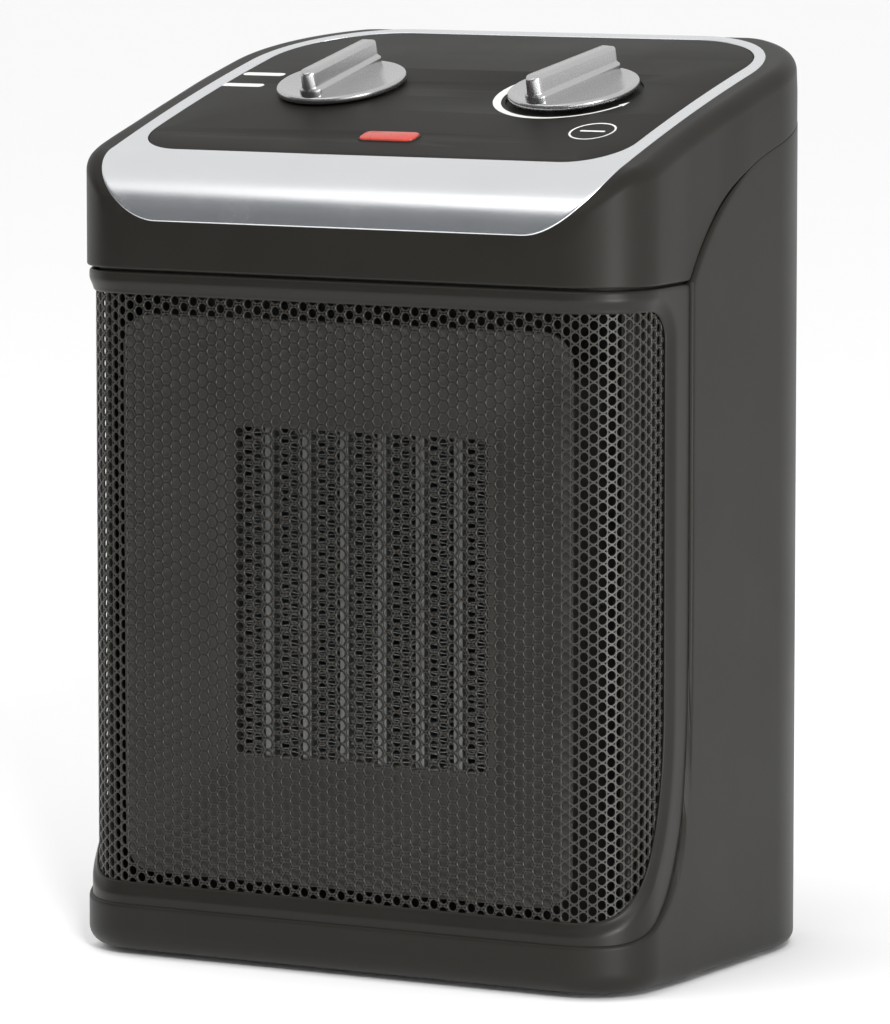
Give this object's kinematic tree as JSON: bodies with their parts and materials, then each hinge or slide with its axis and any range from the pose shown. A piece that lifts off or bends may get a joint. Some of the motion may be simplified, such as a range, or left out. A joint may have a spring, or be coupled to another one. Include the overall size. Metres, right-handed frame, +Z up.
{
  "type": "ceramic space heater",
  "caption": "Compact upright fan heater: wrapped housing, perforated curved front grille, sloping control panel with silver trim, two rotary knobs, finned ceramic heating core and axial fan.",
  "frame": {"origin": "centre of the footprint on the floor, under the rubber feet", "axes": "+Z up, the front with the grille faces -Y, +X is to the right of someone facing the front"},
  "size_m": [0.185, 0.142, 0.2645],
  "materials": {
    "body_black": "satin",
    "bezel_black": "matt",
    "grille_steel": "satin enamel",
    "silver_trim": "satin silver paint",
    "panel_black": "fine matt",
    "knob_silver": "satin silver paint",
    "red_lens": "clear red",
    "zinc_steel": "zinc plated",
    "lamination": "stacked sheet",
    "aluminium": "mill finish",
    "brass": "plain",
    "bronze": "sintered",
    "copper_coil": "varnished winding",
    "ceramic_white": "unglazed",
    "heat_plastic": "glass filled",
    "dark_plastic": "matt",
    "fan_plastic": "moulded",
    "pale_plastic": "moulded",
    "lamp_glass": "clear",
    "rubber_black": "soft",
    "wire_red": "insulation"
  },
  "bodies": {
    "housing": {"rear_housing": "body_black", "base_plate": "bezel_black", "front_bezel": "bezel_black", "front_grille": "grille_steel", "head_cap": "body_black", "control_trim": "silver_trim", "control_panel": "panel_black", "selector_switch": "dark_plastic", "thermostat_body": "ceramic_white", "thermostat_blades": "brass", "indicator_lens": "red_lens", "indicator_lamp": "lamp_glass", "lamp_holder": "dark_plastic", "air_duct": "heat_plastic", "heater_box": "heat_plastic", "heater_fins": "aluminium", "heater_bars": "aluminium", "heater_end_caps": "pale_plastic", "heater_terminals": "brass", "fan_shroud": "dark_plastic", "motor_mount": "zinc_steel", "front_bracket": "zinc_steel", "rear_bracket": "zinc_steel", "front_bearing": "bronze", "rear_bearing": "bronze", "motor_stator": "lamination", "motor_coil": "copper_coil", "motor_screws": "zinc_steel", "rear_grille": "bezel_black", "thermal_cutout": "dark_plastic", "thermal_fuse": "ceramic_white", "tip_switch": "dark_plastic", "tip_spring": "zinc_steel", "terminal_block": "pale_plastic", "cord_gland": "rubber_black", "base_screws": "zinc_steel", "shroud_screws": "zinc_steel", "rubber_feet": "rubber_black", "wiring": "wire_red"},
    "selector": {"selector_knob": "knob_silver", "selector_shaft": "zinc_steel"},
    "thermostat": {"thermostat_knob": "knob_silver", "thermostat_shaft": "zinc_steel"},
    "fan": {"fan_impeller": "fan_plastic", "motor_rotor": "aluminium", "motor_shaft": "zinc_steel"},
    "plunger": {"tip_plunger": "pale_plastic"}
  },
  "joints": [
    {"name": "selector_turn", "type": "hinge", "parent": "housing", "child": "selector", "pos_m": [-0.0385, 0.00061, 0.24852], "axis": [0, 0.2521, -0.9677], "range_deg": [0, 135]},
    {"name": "thermostat_turn", "type": "hinge", "parent": "housing", "child": "thermostat", "pos_m": [0.0385, 0.00061, 0.24852], "axis": [0, 0.2521, -0.9677], "range_deg": [0, 280]},
    {"name": "fan_spin", "type": "hinge", "parent": "housing", "child": "fan", "pos_m": [0, -0.018, 0.10743], "axis": [0, 1, 0], "continuous": true},
    {"name": "plunger_slide", "type": "slide", "parent": "housing", "child": "plunger", "axis": [0, 0, -1], "range_m": [0, 0.004], "stiffness_N_per_m": 20, "springref_m": 0.008}
  ]
}
